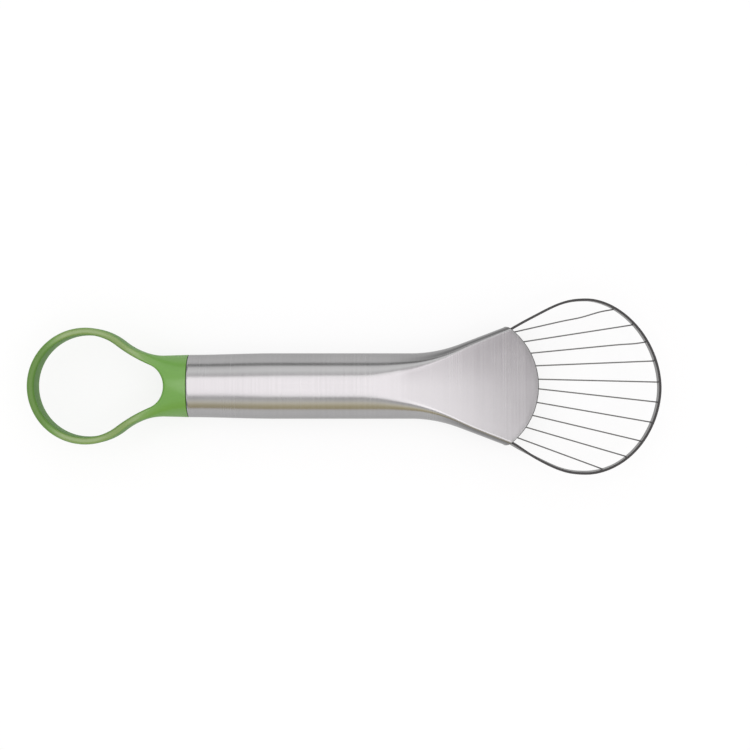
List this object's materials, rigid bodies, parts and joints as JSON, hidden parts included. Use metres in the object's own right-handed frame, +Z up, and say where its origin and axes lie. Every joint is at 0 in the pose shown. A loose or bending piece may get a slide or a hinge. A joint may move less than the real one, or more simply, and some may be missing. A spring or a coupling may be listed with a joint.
{
  "type": "avocado slicer",
  "caption": "Two-ended hand tool: green pitting ring on a collar, round steel tube handle flattened into a fan, and a steel strip loop strung with fine wires for slicing avocado.",
  "frame": {"origin": "centre of the bounding box at its underside, on the line the barrel lies on", "axes": "+X along the tool from the pitting ring to the slicing loop, +Y across it, +Z up out of the loop's plane"},
  "size_m": [0.235, 0.0658, 0.0244],
  "materials": {
    "green_plastic": "satin-gloss moulded green plastic",
    "handle_steel": "stainless steel brushed across the handle",
    "strip_steel": "rolled stainless strip, sheared edges",
    "bar_steel": "plain steel bar",
    "wire_steel": "drawn stainless wire",
    "plug_plastic": "dark grey moulded filler"
  },
  "bodies": {
    "root": {"handle_tube": "handle_steel", "pitter_ring": "green_plastic", "frame_strip": "strip_steel", "anchor_bar": "bar_steel", "mouth_plug": "plug_plastic", "slicing_wire_01": "wire_steel", "slicing_wire_02": "wire_steel", "slicing_wire_03": "wire_steel", "slicing_wire_04": "wire_steel", "slicing_wire_05": "wire_steel", "slicing_wire_06": "wire_steel", "slicing_wire_07": "wire_steel", "slicing_wire_08": "wire_steel", "slicing_wire_09": "wire_steel", "slicing_wire_10": "wire_steel"}
  },
  "joints": []
}
